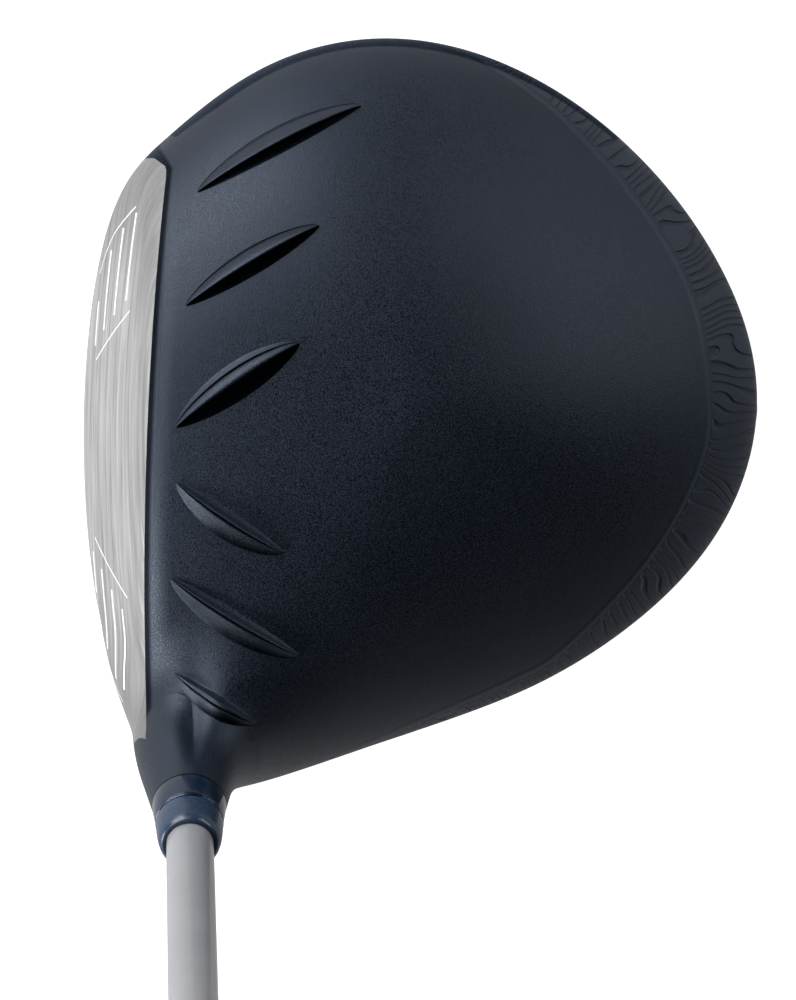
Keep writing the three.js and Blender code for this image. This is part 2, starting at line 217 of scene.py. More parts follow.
def bodyField(p):
    # a rounded body whose outline and sections have their own powers at heel, back, toe and front
    x = p[:, 0] - head["planCentre"][0]
    y = p[:, 1] - head["planCentre"][1]
    z = p[:, 2] - head["ringHeight"]
    angle = np.arctan2(y, x)
    up = z > 0
    planPower = np.where(up, around(angle, head["upperPlan"]), around(angle, head["lowerPlan"]))
    sectionPower = np.where(up, around(angle, head["upperSection"]), around(angle, head["lowerSection"]))
    rho = np.hypot(x, y) / planRadius(angle)
    soft = head["rimRounding"]
    rise = np.where(up, head["crownRise"], head["soleDrop"])
    zeta = (np.hypot(z, soft) - soft) / (np.hypot(rise, soft) - soft)
    level = (rho ** planPower + zeta ** sectionPower) ** (2 / (planPower + sectionPower))
    return np.sqrt(x ** 2 + y ** 2 + z ** 2) * (1 - 1 / np.maximum(level, 1e-6))


def faceField(p):
    return np.linalg.norm(p - np.array(head["faceCentre"]), axis=1) - head["faceBall"]


def alongLine(p):
    return (p - np.array(line["foot"])) @ lineDirection


def neckField(p):
    along = alongLine(p)
    across = p - np.array(line["foot"]) - np.outer(along, lineDirection)
    radial = np.linalg.norm(across, axis=1)
    below = smoothMin(np.maximum(line["hoselTop"] - along, 0), line["taperLength"], line["taperRounding"])
    turn = np.arctan2(across[:, 1], across[:, 2]) - line["valleyTurn"]
    valley = line["valleyDepth"] * np.exp(-(turn / line["valleyWidth"]) ** 2)
    valley *= np.clip((below - line["valleyStart"]) / line["valleyRamp"], 0, 1)
    radius = line["hoselRadius"] + line["neckTaper"] * below - valley
    return np.maximum(radial - radius, line["neckBottom"] - along)


def headField(p):
    # about the distance outside the head, negative inside it
    lump = smoothMax(bodyField(p), faceField(p), head["edgeRounding"])
    blended = smoothMin(lump, neckField(p), neckBlend(p))
    return smoothMax(blended, -p[:, 2], head["soleRounding"])


def fieldSlope(p, step=0.02):
    slope = np.empty_like(p)
    for axis in range(3):
        shift = np.zeros(3)
        shift[axis] = step
        slope[:, axis] = (headField(p + shift) - headField(p - shift)) / (2 * step)
    return slope


def settleOnHead(points, inset=0.0, steps=8, longest=1.5):
    # moves points along the field's slope until they lie on the surface, or inset below it
    for _ in range(steps):
        slope = fieldSlope(points)
        size = np.maximum((slope ** 2).sum(axis=1), 1e-3)
        move = -(headField(points) + inset)[:, None] * slope / size[:, None]
        length = np.linalg.norm(move, axis=1, keepdims=True)
        points = points + move * np.minimum(1, longest / np.maximum(length, 1e-9))
    return points


# the neck's rod ends above the neck's flat top, and keeps its shape from a height on
neckRod = {"bottom": line["neckBottom"] + 4, "top": line["hoselTop"] + 6, "unsettled": line["hoselTop"] + 3}


def headVolume(name, inset, voxel):
    # a ball pushed out to the body, joined to a rod for the neck, remeshed and settled
    bm = bmesh.new()
    bmesh.ops.create_uvsphere(bm, u_segments=96, v_segments=48, radius=1)
    rays = np.array([v.co[:] for v in bm.verts])
    centre = np.array((*head["planCentre"], head["ringHeight"]), float)

    def isBeyond(reach):
        p = centre + rays * reach[:, None]
        return np.maximum(bodyField(p), faceField(p)) + inset > 0

    reach = surfaceBetween(np.ones(len(rays)), np.full(len(rays), 120.0), 30, isBeyond)
    for vert, point in zip(bm.verts, centre + rays * reach[:, None]):
        vert.co = point * mm
    low, high = neckRod["bottom"], neckRod["top"]
    radius = (line["hoselRadius"] - inset) * mm
    bmesh.ops.create_cone(bm, cap_ends=True, segments=48, radius1=radius, radius2=radius,
                          depth=(high - low) * mm, matrix=lineFrame((low + high) / 2))
    helper = looseObject(meshFrom(bm))
    remesh = helper.modifiers.new("remesh", "REMESH")
    remesh.mode = "VOXEL"
    remesh.voxel_size = voxel * mm
    mesh = bakedMesh(helper, name)
    points = pointsOf(mesh)
    end = alongLine(points) > neckRod["unsettled"]
    settled = settleOnHead(points, inset)
    settled[end] = points[end]
    setPoints(mesh, settled)
    return mesh


def cutAbove(mesh, name):
    # the neck's flat top
    bm = bmesh.new()
    bm.from_mesh(mesh)
    top = (np.array(line["foot"]) + lineDirection * line["hoselTop"]) * mm
    geometry = list(bm.verts) + list(bm.edges) + list(bm.faces)
    cut = bmesh.ops.bisect_plane(bm, geom=geometry, plane_co=top, plane_no=lineDirection, clear_outer=True)
    rim = [e for e in cut["geom_cut"] if isinstance(e, bmesh.types.BMEdge)]
    bmesh.ops.holes_fill(bm, edges=rim, sides=0)
    bmesh.ops.recalc_face_normals(bm, faces=bm.faces)
    return meshFrom(bm, name)


def blockMesh(low, high, turn):
    # a box between two corners, then turned about the upright axis
    bm = bmesh.new()
    bmesh.ops.create_cube(bm, size=1)
    size = Vector(high) - Vector(low)
    middle = (Vector(high) + Vector(low)) / 2
    bmesh.ops.scale(bm, vec=size * mm, verts=bm.verts)
    bmesh.ops.translate(bm, vec=middle * mm, verts=bm.verts)
    bmesh.ops.rotate(bm, cent=(0, 0, 0), matrix=Matrix.Rotation(turn, 3, "Z"), verts=bm.verts)
    return meshFrom(bm)


def turnedBmesh(profile, segments, matrix):
    # a profile of (radius, height) spun round the upright axis, then put in place
    bm = bmesh.new()
    verts = [bm.verts.new((radius * mm, 0, height * mm)) for radius, height in profile]
    edges = [bm.edges.new(pair) for pair in zip(verts, verts[1:] + verts[:1])]
    axisEdges = [e for e in edges if all(abs(v.co.x) < 1e-9 for v in e.verts)]
    bmesh.ops.delete(bm, geom=axisEdges, context="EDGES")
    bmesh.ops.spin(bm, geom=list(bm.verts) + list(bm.edges), cent=(0, 0, 0), axis=(0, 0, 1),
                   angle=2 * math.pi, steps=segments, use_merge=True)
    bmesh.ops.remove_doubles(bm, verts=bm.verts, dist=1e-7)
    bmesh.ops.recalc_face_normals(bm, faces=bm.faces)
    bmesh.ops.transform(bm, matrix=matrix, verts=bm.verts)
    return bm


def rodMesh(radius, bottom, top, matrix, segments):
    # a plain round block between two heights of a frame
    bm = bmesh.new()
    place = matrix @ Matrix.Translation((0, 0, (bottom + top) / 2 * mm))
    bmesh.ops.create_cone(bm, cap_ends=True, segments=segments, radius1=radius * mm, radius2=radius * mm,
                          depth=(top - bottom) * mm, matrix=place)
    return meshFrom(bm)


def softenRims(bm, offset):
    # rounds every rim of a turned shape
    rims = [e for e in bm.edges if len(e.link_faces) == 2 and e.calc_face_angle(0) > math.radians(28)]
    bmesh.ops.bevel(bm, geom=rims, offset=offset * mm, affect="EDGES", segments=3, profile=0.5, material=-1)


class Wire:
    # one output socket; arithmetic on it adds Math nodes
    def __init__(self, tree, socket):
        self.tree = tree
        self.socket = socket

    def node(self, kind, settings=None, inputs=None, output=0):
        made = self.tree.nodes.new(kind)
        for name, value in (settings or {}).items():
            setattr(made, name, value)
        for key, value in (inputs or {}).items():
            if isinstance(value, Wire):
                self.tree.links.new(value.socket, made.inputs[key])
            else:
                made.inputs[key].default_value = value
        return Wire(self.tree, made.outputs[output])

    def maths(self, operation, *values):
        return self.node("ShaderNodeMath", {"operation": operation}, dict(enumerate(values)))

    def __add__(self, other):
        return self.maths("ADD", self, other)

    def __sub__(self, other):
        return self.maths("SUBTRACT", self, other)

    def __rsub__(self, other):
        return self.maths("SUBTRACT", other, self)

    def __mul__(self, other):
        return self.maths("MULTIPLY", self, other)

    def __truediv__(self, other):
        return self.maths("DIVIDE", self, other)

    def __rtruediv__(self, other):
        return self.maths("DIVIDE", other, self)

    def __abs__(self):
        return self.maths("ABSOLUTE", self)

    def larger(self, other):
        return self.maths("MAXIMUM", self, other)

    __radd__ = __add__
    __rmul__ = __mul__

    def part(self, axis):
        return self.node("ShaderNodeSeparateXYZ", None, {"Vector": self}, axis)

    def attribute(self, name):
        return self.node("ShaderNodeAttribute", {"attribute_name": name}, None, 2)

    def sine(self):
        return self.maths("SINE", self)

    def scaled(self, *factors):
        return self.node("ShaderNodeVectorMath", {"operation": "MULTIPLY"}, {0: self, 1: factors})

    def noise(self, scale, detail=2.0, roughness=0.5):
        inputs = {"Vector": self, "Scale": scale, "Detail": detail, "Roughness": roughness}
        return self.node("ShaderNodeTexNoise", None, inputs)

    def ramp(self, low, high, toLow=0.0, toHigh=1.0):
        inputs = {"Value": self, "From Min": low, "From Max": high, "To Min": toLow, "To Max": toHigh}
        return self.node("ShaderNodeMapRange", {"interpolation_type": "SMOOTHSTEP"}, inputs)

    def colours(self, first, second):
        # sockets 6, 7 and output 2 are the Mix node's colours
        return self.node("ShaderNodeMix", {"data_type": "RGBA"}, {0: self, 6: first, 7: second}, 2)

    def bump(self):
        # heights in millimetres
        return self.node("ShaderNodeBump", None, {"Height": self, "Distance": mm, "Strength": 1.0})


def colour(red, green, blue):
    # screen colour from 0 to 255 as a linear one
    values = [c / 255 for c in (red, green, blue)]
    return tuple(v / 12.92 if v <= 0.04045 else ((v + 0.055) / 1.055) ** 2.4 for v in values) + (1.0,)


def makeMaterial(name, build, fixed):
    # build gets the object coordinates and returns what feeds each varying socket
    material = bpy.data.materials.new(name)
    material.use_nodes = True
    tree = material.node_tree
    tree.nodes.clear()
    shader = tree.nodes.new("ShaderNodeBsdfPrincipled")
    output = tree.nodes.new("ShaderNodeOutputMaterial")
    tree.links.new(shader.outputs["BSDF"], output.inputs["Surface"])
    for key, value in fixed.items():
        shader.inputs[key].default_value = value
    place = Wire(tree, tree.nodes.new("ShaderNodeTexCoord").outputs["Object"])
    for key, wire in build(place).items():
        tree.links.new(wire.socket, shader.inputs[key])
    return material


paint = {
    "navyDeep": colour(3, 6, 12),
    "navyPale": colour(29, 36, 50),
    # nearly black, for painted shade
    "paintedShadeBlack": colour(3, 5, 10),
    # a paler band tone, also the painted highlight along the band's crease
    "bandPaleAndHighlight": colour(52, 62, 78),
    "soleMetal": colour(96, 100, 106),
    "faceDark": colour(128, 128, 128),
    "faceLight": colour(192, 192, 192),
    "collarNavy": colour(17, 30, 49),
    "ferruleBlue": colour(35, 52, 74),
    "shaftPearl": colour(138, 139, 143),
    "grainScale": 3800,
}


def navyPaint(place, extraHeight=0.0):
    # dark blue with a fine pale speckle
    fine = place.noise(paint["grainScale"], 3, 0.7)
    speckle = (fine * 0.9 + place.noise(60, 2) * 0.1).ramp(0.38, 0.64)
    height = fine * 0.07 + extraHeight
    return {
        "Base Color": speckle.colours(paint["navyDeep"], paint["navyPale"]),
        "Roughness": fine.ramp(0.35, 0.65, 0.3, 0.58),
        "Normal": height.bump(),
    }


def darkenRim(place, feeds):
    # painted shade, nearly black and without gloss, on the rolled edge and on the lip behind the topline
    edge = place.attribute("rimShade").ramp(-0.25, 0.25)
    lip = place.attribute("lipShade").ramp(-0.5, 0.3)
    shade = edge.larger(lip)
    feeds["Base Color"] = (shade * 0.92).colours(feeds["Base Color"], paint["paintedShadeBlack"])
    feeds["Metallic"] = shade * 0.85
    return feeds


def crownPaint(place):
    # contour grooves in the band round the back, with painted shade in them, and the raised line along its
    # inner edge, with a painted highlight on it
    depth = place.attribute("bandDepth")
    along = place.attribute("bandAlong")
    spot = place.node("ShaderNodeCombineXYZ", None, {0: along, 1: depth, 2: 0.0})
    hills = spot.scaled(0.12, 0.07, 0).noise(1.0, 1.0, 0.4)
    wave = (hills * 46 + along * 3.5).sine()
    inside = depth.ramp(0.9, 1.4) * depth.ramp(30, 34, 1, 0)
    groove = wave.ramp(0.3, 1.0) * inside
    crease = abs(depth - 0.25).ramp(0.1, 0.6, 1, 0)
    feeds = navyPaint(place, crease * 0.08 - groove * 0.4)
    # the band a little paler, and a painted highlight along the crease at its inner edge
    raised = (inside * 0.3 + crease * 0.3).colours(feeds["Base Color"], paint["bandPaleAndHighlight"])
    # painted shade in the grooves
    feeds["Base Color"] = (groove * 0.75).colours(raised, paint["paintedShadeBlack"])
    return darkenRim(place, feeds)


def ridgePaint(place):
    # crown paint with painted shade, nearly black, in the crease and on the shaded side
    feeds = navyPaint(place)
    shade = place.attribute("creaseShade").ramp(0.2, 0.9)
    feeds["Base Color"] = shade.colours(feeds["Base Color"], paint["paintedShadeBlack"])
    feeds["Metallic"] = shade * 0.9
    return feeds


def bodyPaint(place):
    # crown paint above a slanted line round the skirt, brushed metal below it
    feeds = darkenRim(place, navyPaint(place))
    height = place.part(2) / mm
    back = place.part(1) / mm
    upper = (height - back * 0.13).ramp(8.5, 8.8)
    brushed = place.scaled(1, 0.03, 1).noise(3000, 2)
    metal = brushed.colours(paint["soleMetal"], colour(128, 132, 138))
    feeds["Base Color"] = upper.colours(metal, feeds["Base Color"])
    feeds["Metallic"] = feeds["Metallic"].larger(upper.ramp(0, 1, 0.9, 0.0))
    return feeds


def faceMetal(place):
    # fine brushing from heel to toe
    streaks = place.scaled(0.02, 0.06, 1).noise(4200, 3, 0.6)
    bands = place.scaled(0.06, 0.06, 1).noise(700, 2)
    mixed = (streaks * 0.6 + bands * 0.4).ramp(0.3, 0.7)
    # painted shade: the metal darker towards the topline and towards both ends
    height = place.part(2) / mm
    paintedFaceShade = height.ramp(40, 56) * 0.35 + abs(place.part(0) / mm).ramp(22, 50) * 0.6
    metal = mixed.colours(paint["faceDark"], paint["faceLight"])
    return {
        "Base Color": paintedFaceShade.colours(metal, colour(112, 112, 114)),
        "Roughness": streaks.ramp(0.3, 0.7, 0.44, 0.58),
        "Normal": (streaks * 0.03).bump(),
    }


def plainFinish(pattern, dark, light, low, high, relief=None):
    # one pattern runs between two colours and two roughnesses
    feeds = {
        "Base Color": pattern.ramp(0.3, 0.7).colours(dark, light),
        "Roughness": pattern.ramp(0.3, 0.7, low, high),
    }
    if relief:
        feeds["Normal"] = relief.bump()
    return feeds


def scorePaint(place):
    return plainFinish(place.noise(3000, 2), colour(206, 206, 204), colour(226, 226, 224), 0.4, 0.6)


def glossNavy(place):
    fleck = place.noise(900, 2)
    return {
        "Base Color": fleck.colours(paint["collarNavy"], colour(21, 36, 57)),
        "Roughness": fleck.ramp(0.3, 0.7, 0.14, 0.22),
        "Normal": (place.noise(5000, 2) * 0.006).bump(),
    }


def ferrulePlastic(place):
    relief = place.noise(3500, 2) * 0.01
    return plainFinish(place.noise(1400, 3), paint["ferruleBlue"], colour(39, 57, 80), 0.24, 0.36, relief)


def shaftCoat(place):
    relief = place.noise(900, 2) * 0.0004
    return plainFinish(place.noise(120, 2), paint["shaftPearl"], colour(142, 143, 147), 0.28, 0.34, relief)


def softRubber(place):
    fleck = place.noise(2400, 3)
    return plainFinish(fleck, colour(22, 22, 24), colour(40, 40, 42), 0.68, 0.86, fleck * 0.08)


def gripRubber(place):
    # raised diamonds round the grip, between smooth bands
    feeds = softRubber(place)
    along = place.attribute("gripAlong")
    turn = along.maths("ARCTAN2", place.attribute("gripY"), place.attribute("gripX"))
    first = (along * 1.3 + turn * 12).sine()
    second = (along * 1.3 - turn * 12).sine()
    diamonds = (first * second).ramp(-0.1, 0.3)
    zone = along.ramp(10, 12) * along.ramp(236, 238, 1, 0)
    feeds["Normal"] = (diamonds * zone * 0.35 + place.noise(2400, 3) * 0.06).bump()
    return feeds


def drawnMetal(dark, light, low, high):
    def build(place):
        lines = place.scaled(1, 0.1, 1).noise(2400, 2)
        return plainFinish(lines, dark, light, low, high, lines * 0.01)
    return build


def clothTape(place):
    weave = place.noise(3000, 2)
    return plainFinish(weave, colour(214, 210, 198), colour(236, 234, 226), 0.8, 0.95, weave * 0.1)


def warmGlue(place):
    cloud = place.noise(300, 3)
    return plainFinish(cloud, colour(206, 196, 160), colour(226, 218, 190), 0.35, 0.55, cloud * 0.3)


trimFinish = drawnMetal(colour(64, 80, 108), colour(96, 112, 138), 0.2, 0.32)
steelFinish = drawnMetal(colour(120, 122, 126), colour(160, 162, 166), 0.22, 0.36)
weightFinish = drawnMetal(colour(150, 150, 152), colour(190, 190, 192), 0.3, 0.45)
badgeFinish = drawnMetal(colour(44, 50, 60), colour(66, 72, 84), 0.3, 0.42)
paintFixed = {"Specular Tint": (0.68, 0.8, 1, 1), "Specular IOR Level": 0.5}
finishes = {
    "crownPaint": (crownPaint, paintFixed),
    "ridgePaint": (ridgePaint, paintFixed),
    "bodyPaint": (bodyPaint, paintFixed),
    "faceMetal": (faceMetal, {"Metallic": 0.55}),
    "scorePaint": (scorePaint, {}),
    "glossNavy": (glossNavy, {"Metallic": 0.1, "Coat Weight": 0.3, "Coat Roughness": 0.12}),
    "ferrulePlastic": (ferrulePlastic, {"Coat Weight": 0.1, "Coat Roughness": 0.2}),
    "shaftCoat": (shaftCoat, {"Coat Weight": 0.5, "Coat Roughness": 0.1}),
    "softRubber": (softRubber, {}),
    "gripRubber": (gripRubber, {}),
    "trimMetal": (trimFinish, {"Metallic": 1.0}),
    "screwSteel": (steelFinish, {"Metallic": 1.0}),
    "weightMetal": (weightFinish, {"Metallic": 1.0}),
    "badgeMetal": (badgeFinish, {"Metallic": 0.7}),
    "clothTape": (clothTape, {}),
    "warmGlue": (warmGlue, {}),
}
materials = {name: makeMaterial(name, *recipe) for name, recipe in finishes.items()}
say("materials ready")


camera = {"place": (9.6, 19, 3029), "lens": 598, "sensor": 36, "clipEnd": 100}
cameraData = bpy.data.cameras.new("camera")
cameraData.lens = camera["lens"]
cameraData.sensor_width = camera["sensor"]
cameraData.clip_end = camera["clipEnd"]
cameraObject = bpy.data.objects.new("camera", cameraData)
cameraObject.location = Vector(camera["place"]) * mm
cameraObject.rotation_euler = (0, 0, math.pi / 2)
bpy.context.scene.collection.objects.link(cameraObject)
bpy.context.scene.camera = cameraObject

lamps = {
    "frontToe": {"place": (-1300, -1050, 900), "size": (1300, 1300), "power": 40, "aim": (-20, 0, 40)},
    "backToe": {"place": (-900, 1500, 900), "size": (1500, 700), "power": 11, "aim": (0, 40, 30)},
    "frontHigh": {"place": (-250, -1400, 1300), "size": (700, 400), "power": 9, "aim": (0, -10, 50)},
    "shaftSide": {"place": (500, -1100, 250), "size": (500, 300), "power": 13, "aim": (60, -20, 80)},
}
for name, lamp in lamps.items():
    lightData = bpy.data.lights.new(name, "AREA")
    lightData.shape = "RECTANGLE"
    lightData.size, lightData.size_y = (side * mm for side in lamp["size"])
    lightData.energy = lamp["power"]
    lightObject = bpy.data.objects.new(name, lightData)
    lightObject.location = Vector(lamp["place"]) * mm
    aim = Vector(lamp["aim"]) - Vector(lamp["place"])
    lightObject.rotation_euler = aim.to_track_quat("-Z", "Y").to_euler()
    bpy.context.scene.collection.objects.link(lightObject)

studio = {"fill": 0.035, "floorGlow": 0.3, "floorHalf": 4}
world = bpy.data.worlds.new("studio")
bpy.context.scene.world = world
world.use_nodes = True
worldTree = world.node_tree
worldTree.nodes.clear()
seen = Wire(worldTree, worldTree.nodes.new("ShaderNodeLightPath").outputs["Is Camera Ray"])
strength = seen.ramp(0, 1, studio["fill"], 1.0)
glow = seen.node("ShaderNodeBackground", None, {"Color": (1, 1, 1, 1), "Strength": strength})
worldOutput = worldTree.nodes.new("ShaderNodeOutputWorld")
worldTree.links.new(glow.socket, worldOutput.inputs["Surface"])
bpy.context.scene.view_settings.view_transform = "Standard"

floorBmesh = bmesh.new()
bmesh.ops.create_grid(floorBmesh, x_segments=8, y_segments=8, size=studio["floorHalf"])
floorMesh = meshFrom(floorBmesh, "floor")
floorObject = looseObject(floorMesh, "floor")


def floorPaint(place):
    # plain white to the eye, a softer glow on the club
    cloud = place.noise(3, 2)
    cameraRay = place.node("ShaderNodeLightPath")
    softGlow = (studio["floorGlow"],) * 3 + (1,)
    return {
        "Base Color": cloud.colours((0.3, 0.3, 0.3, 1), (0.34, 0.34, 0.34, 1)),
        "Roughness": cloud.ramp(0.3, 0.7, 0.7, 0.8),
        "Emission Color": cameraRay.colours(softGlow, (1, 1, 1, 1)),
    }


floorMesh.materials.append(makeMaterial("floorPaint", floorPaint, {"Emission Strength": 1.0}))
say("camera, lights and floor ready")


crown = {
    "seamHeight": 29.15,
    "seamY": -24.2,
    "seamTurn": math.radians(-2.35),
    "neckRoom": 17,
    "gap": 0.02,
    # inner edge of the grooved band, from toe to heel
    "bandEdge": ((-71, 30), (-69.5, 33.8), (-59, 48.3), (-42.8, 62.7), (-26.5, 71.8), (-8.5, 74.6),
                 (4.2, 72.6), (20.4, 63.6), (36.6, 48.3), (42, 39), (46, 30)),
}
insert = {
    # seen from the front: heel-toe and height, anticlockwise from the toe
    "outline": ((-52.3, 30), (-50.8, 22), (-44, 11.5), (-28, 6.2), (0, 5.6), (30, 8.6), (45, 15.5),
                (52.6, 27), (54, 37), (52.5, 48), (47, 60), (0, 66), (-44, 60), (-50.5, 46)),
    # seen from above: how far back the topline runs, and the rounded ends
    "backEdge": {"middle": 27.6, "least": -26.5, "bend": 0.00066},
    "ends": (-52, 54.2),
    "endRounding": 2.6,
    "gap": 0.05,
    "thickness": 3,
}


def smoothLoop(points, count, closed=True):
    # Catmull-Rom through the points
    points = np.array(points, float)
    number = len(points)
    spans = number if closed else number - 1
    result = []
    for i in range(count):
        place = i * spans / (count if closed else count - 1)
        k = min(int(place), spans - 1)
        t = place - k
        if closed:
            a, b, c, d = (points[(k + j) % number] for j in (-1, 0, 1, 2))
        else:
            a, b, c, d = (points[min(max(k + j, 0), number - 1)] for j in (-1, 0, 1, 2))
        result.append(0.5 * (2 * b + (c - a) * t + (2 * a - 5 * b + 4 * c - d) * t ** 2
                             + (3 * b - a - 3 * c + d) * t ** 3))
    return np.array(result)


def prism(outline, depth):
    # a flat outline extruded by depth
    bm = bmesh.new()
    base = bm.faces.new([bm.verts.new(Vector(point) * mm) for point in outline])
    extrudeFaces(bm, [base], depth)
    bmesh.ops.recalc_face_normals(bm, faces=bm.faces)
    return meshFrom(bm)


def toplineAt(x):
    # how far back the insert's upper edge runs at a heel-toe place
    edge = insert["backEdge"]
    return edge["least"] + edge["bend"] * (x - edge["middle"]) ** 2


def insertBlock(grow):
    # the insert's outline as a block from in front of the face to the slanted topline
    outline = smoothLoop(insert["outline"], 200)
    middle = (outline.max(axis=0) + outline.min(axis=0)) / 2
    half = (outline.max(axis=0) - outline.min(axis=0)) / 2
    outline = middle + (outline - middle) * (1 + grow / half)
    front = prism([(x, -60, z) for x, z in outline], (0, 60, 0))
    low, high = insert["ends"][0] - grow, insert["ends"][1] + grow
    rounding = insert["endRounding"]
    plan = [(low, -60, -5), (high, -60, -5)]
    for step in range(61):
        x = high + (low - high) * step / 60
        end = min(x - low, high - x)
        back = toplineAt(x) + grow
        if end < rounding:
            back -= rounding - math.sqrt(max(rounding ** 2 - (rounding - end) ** 2, 0))
        plan.append((x, back, -5))
    return combined(front, prism(plan, (0, 0, 90)), "INTERSECT", "insertBlock")


def ballBehindFace(inset):
    # the face's ball made smaller, for the back of the insert
    bm = bmesh.new()
    bmesh.ops.create_icosphere(bm, subdivisions=6, radius=(head["faceBall"] - inset) * mm)
    bmesh.ops.translate(bm, vec=Vector(head["faceCentre"]) * mm, verts=bm.verts)
    return meshFrom(bm)


def crownBlock(shrink):
    # the room that the crown takes: above the seam, behind the topline and clear of the neck
    block = blockMesh((-200, crown["seamY"] + shrink, crown["seamHeight"] + shrink), (200, 300, 200),
                      crown["seamTurn"])
    radius = crown["neckRoom"] + shrink
    return combined(block, rodMesh(radius, 0, 150, lineFrame(), 128), "DIFFERENCE", "crownBlock")


def bandAttributes(mesh):
    # how far each point is past the band's inner edge, and how far along it
    edge = smoothLoop(crown["bandEdge"], 400, closed=False)
    lengths = np.concatenate(([0], np.cumsum(np.linalg.norm(np.diff(edge, axis=0), axis=1))))
    points = pointsOf(mesh)[:, :2]
    nearest = np.empty(len(points), int)
    batch = 4000
    for start in range(0, len(points), batch):
        distances = ((points[start:start + batch, None] - edge[None]) ** 2).sum(axis=2)
        nearest[start:start + batch] = np.argmin(distances, axis=1)
    gaps = points - edge[nearest]
    tangent = np.gradient(edge, axis=0)[nearest]
    tangent /= np.linalg.norm(tangent, axis=1, keepdims=True)
    side = gaps[:, 0] * -tangent[:, 1] + gaps[:, 1] * tangent[:, 0]
    addAttribute(mesh, "bandDepth", side)
    addAttribute(mesh, "bandAlong", lengths[nearest] + (gaps * tangent).sum(axis=1))


# painted shade on the rolled edge: how wide it is at each angle from the heel, and on the lip behind the
# topline
rim = {
    "angles": (125, 140, 165, 190, 213, 222, 235),
    "widths": (-40, 0.9, 1.6, 1.6, 1.9, 1.2, -40),
    "lipEnds": (-54, -50, 47, 53),
    "lipWidths": (-2, 0.9, 0.9, -3),
    "lowest": 20,
}


def rimAttributes(mesh):
    # how far each point is inside the painted shade of the rolled edge at toe and front, and inside the
    # painted shade of the lip
    points = pointsOf(mesh)
    x = points[:, 0] - head["planCentre"][0]
    y = points[:, 1] - head["planCentre"][1]
    angle = np.arctan2(y, x)
    inside = planRadius(angle) - np.hypot(x, y)
    width = np.interp(np.degrees(angle) % 360, rim["angles"], rim["widths"])
    addAttribute(mesh, "rimShade", np.where(points[:, 2] > rim["lowest"], width - inside, -5))
    lip = np.interp(points[:, 0], rim["lipEnds"], rim["lipWidths"])
    addAttribute(mesh, "lipShade", toplineAt(points[:, 0]) + lip - points[:, 1])


outer = cutAbove(headVolume("outer", 0.0, head["voxel"]), "outer")
inner = headVolume("inner", head["wall"], head["voxel"] * 2.4)
say("head volume: %d faces outside, %d inside" % (len(outer.polygons), len(inner.polygons)))
shell = combined(outer.copy(), inner, "DIFFERENCE", "shell")

crownMesh = combined(shell.copy(), crownBlock(0.0), "INTERSECT", "crown")
bandAttributes(crownMesh)
rimAttributes(crownMesh)
placePiece(crownMesh, "crown", "head", "crownPaint", ("crown_shell",))

insertMesh = combined(outer.copy(), insertBlock(0.0), "INTERSECT", "insertWork")
insertMesh = combined(insertMesh, ballBehindFace(insert["thickness"]), "DIFFERENCE", "faceInsert")
placePiece(insertMesh, "faceInsert", "head", "faceMetal", ("face_insert",))

# hosel tube and screw seat, heights along the shaft's line
hosel = {
    "portMouth": 4,
    "port": 5.6,
    "seatBottom": 24.6,
    "seatTop": 26.2,
    "bore": 5.3,
    "tube": 7.56,
    "tubeTop": 34,
    "faceRoom": 0.5,
    "neckTubeBottom": 30,
    "buried": 0.05,  # how far the neck's tube stays below the head's surface
    "screwHole": 2.75,
}
# rear weight pocket, heights outwards from its mouth
pocket = {
    "mouth": (-7, 76.5, 20.5),
    "lean": math.radians(40),
    "cup": 9.7,
    "radius": 8.3,
    "depth": 5,
    "floor": 6.6,
    "nub": 4.4,
    "end": 10.5,
    "thread": 2.75,
}
badge = {"middle": (-9, 40, 4), "half": (17, 9, 12), "thickness": 0.4, "gap": 0.15}


def weightFrame():
    # from upright at the origin to the mouth of the weight's pocket, pointing outwards
    direction = Vector((0, math.sin(pocket["lean"]), -math.cos(pocket["lean"])))
    return Matrix.Translation(Vector(pocket["mouth"]) * mm) @ uprightTo(direction)


def badgeBlock(grow):
    # upright oval block through the sole
    bm = bmesh.new()
    across, along, up = badge["half"]
    bmesh.ops.create_cone(bm, cap_ends=True, segments=96, radius1=mm, radius2=mm, depth=2 * up * mm)
    bmesh.ops.scale(bm, vec=(across + grow, along + grow, 1), verts=bm.verts)
    bmesh.ops.translate(bm, vec=Vector(badge["middle"]) * mm, verts=bm.verts)
    return meshFrom(bm)


def raisedBy(mesh, height):
    lifted = mesh.copy()
    lifted.transform(Matrix.Translation((0, 0, height * mm)))
    return lifted


bodyMesh = combined(shell, crownBlock(-crown["gap"]), "DIFFERENCE", "bodyWork")
bodyMesh = combined(bodyMesh, insertBlock(insert["gap"]), "DIFFERENCE", "bodyWork")
tube = rodMesh(hosel["tube"], hosel["portMouth"] - 8, hosel["tubeTop"], lineFrame(), 96)
tube = combined(tube, ballBehindFace(insert["thickness"] + hosel["faceRoom"]), "INTERSECT", "tube")
tube = combined(tube, outer.copy(), "INTERSECT", "tube")
neckTube = rodMesh(line["hoselRadius"] - hosel["buried"], hosel["neckTubeBottom"],
                   line["hoselTop"] - hosel["buried"], lineFrame(), 96)
cup = rodMesh(pocket["cup"], -pocket["floor"], 0, weightFrame(), 96)
cup = combined(cup, rodMesh(pocket["nub"], -pocket["end"], -1, weightFrame(), 64), "UNION", "cup")
cup = combined(cup, crownBlock(-crown["gap"]), "DIFFERENCE", "cup")
for solid in (tube, neckTube, cup):
    bodyMesh = combined(bodyMesh, solid, "UNION", "bodyWork")
